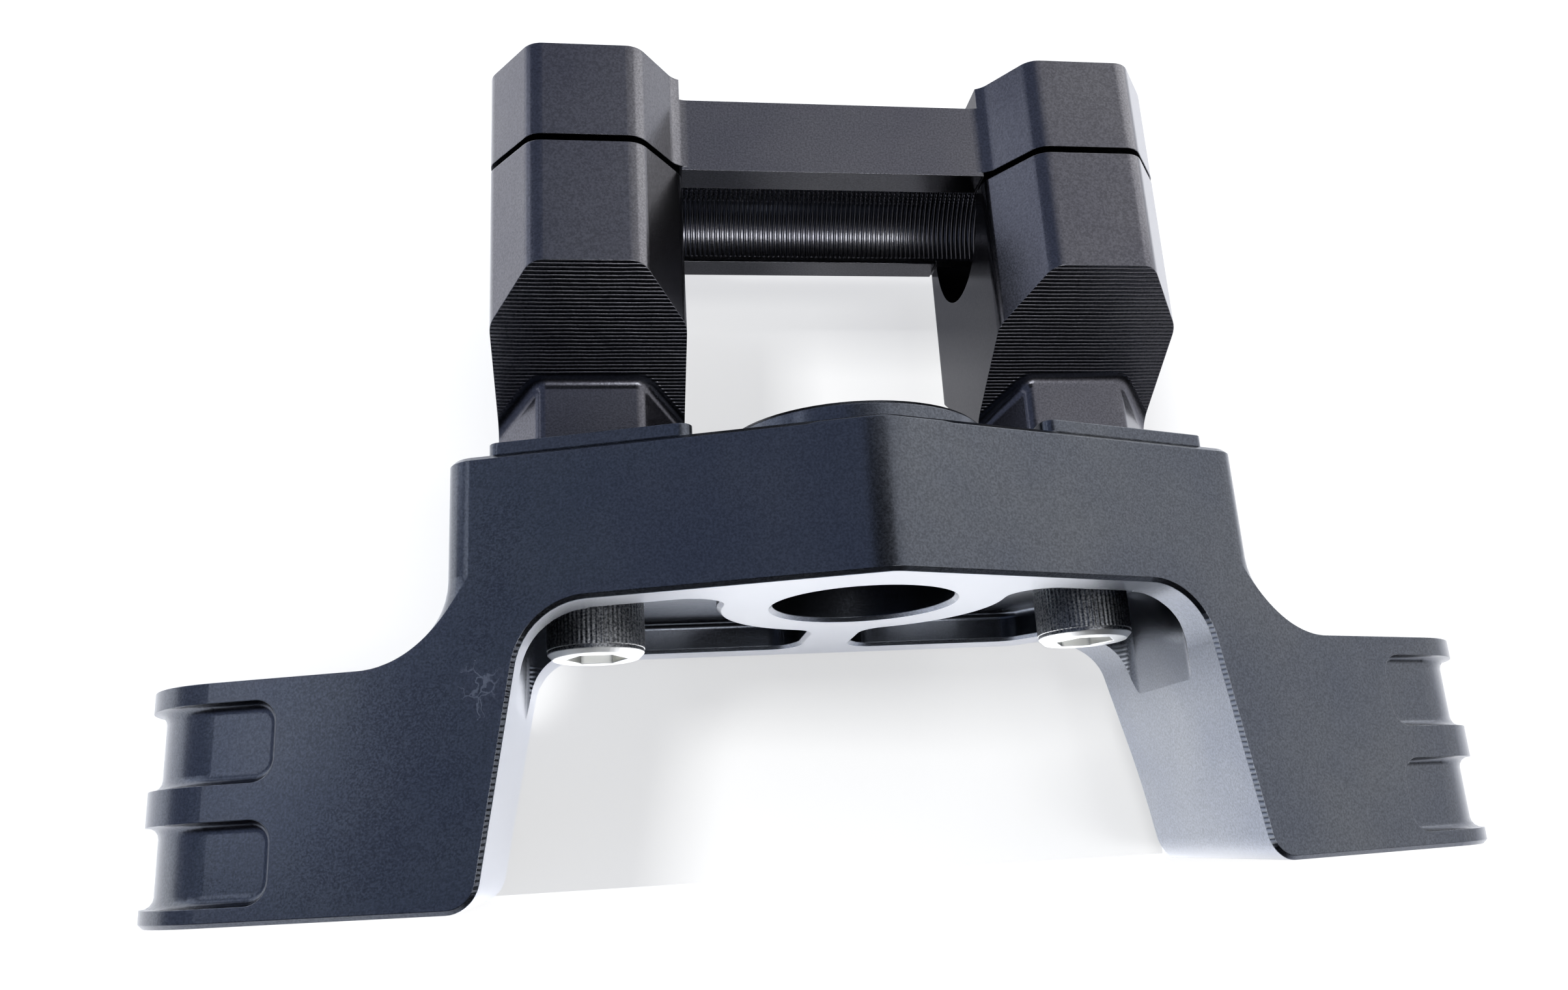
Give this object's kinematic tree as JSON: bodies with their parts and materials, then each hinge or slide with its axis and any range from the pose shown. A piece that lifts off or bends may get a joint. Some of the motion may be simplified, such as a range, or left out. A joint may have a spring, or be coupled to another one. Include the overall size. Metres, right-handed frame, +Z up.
{
  "type": "motorcycle top triple clamp with handlebar risers",
  "caption": "Top triple clamp: milled yoke with arched centre plate and split fork clamps, bolted handlebar risers and a one-piece bar cap.",
  "frame": {"origin": "on the steering stem's axis, in the plane of the centre plate's underside", "axes": "+X to the rider's right, +Y to the front of the motorcycle, +Z up along the steering stem's axis"},
  "size_m": [0.234, 0.0907, 0.1418],
  "materials": {
    "anodised_yoke": "milled billet, satin black anodised, fine even grain",
    "anodised_bar_clamp": "milled billet, semi-gloss black anodised, milling lines on the slanting faces",
    "riser_screw_steel": "steel socket screw with worn dark coating and bright end face",
    "small_screw_steel": "black oxide steel socket screw"
  },
  "bodies": {
    "root": {"yoke": "anodised_yoke", "riser_left": "anodised_bar_clamp", "riser_right": "anodised_bar_clamp", "bar_cap": "anodised_bar_clamp", "riser_screw_left": "riser_screw_steel", "riser_screw_right": "riser_screw_steel", "cap_screw_left_rear": "small_screw_steel", "cap_screw_left_front": "small_screw_steel", "pinch_screw_left_upper": "small_screw_steel", "pinch_screw_left_lower": "small_screw_steel", "cap_screw_right_rear": "small_screw_steel", "cap_screw_right_front": "small_screw_steel", "pinch_screw_right_upper": "small_screw_steel", "pinch_screw_right_lower": "small_screw_steel"}
  },
  "joints": []
}
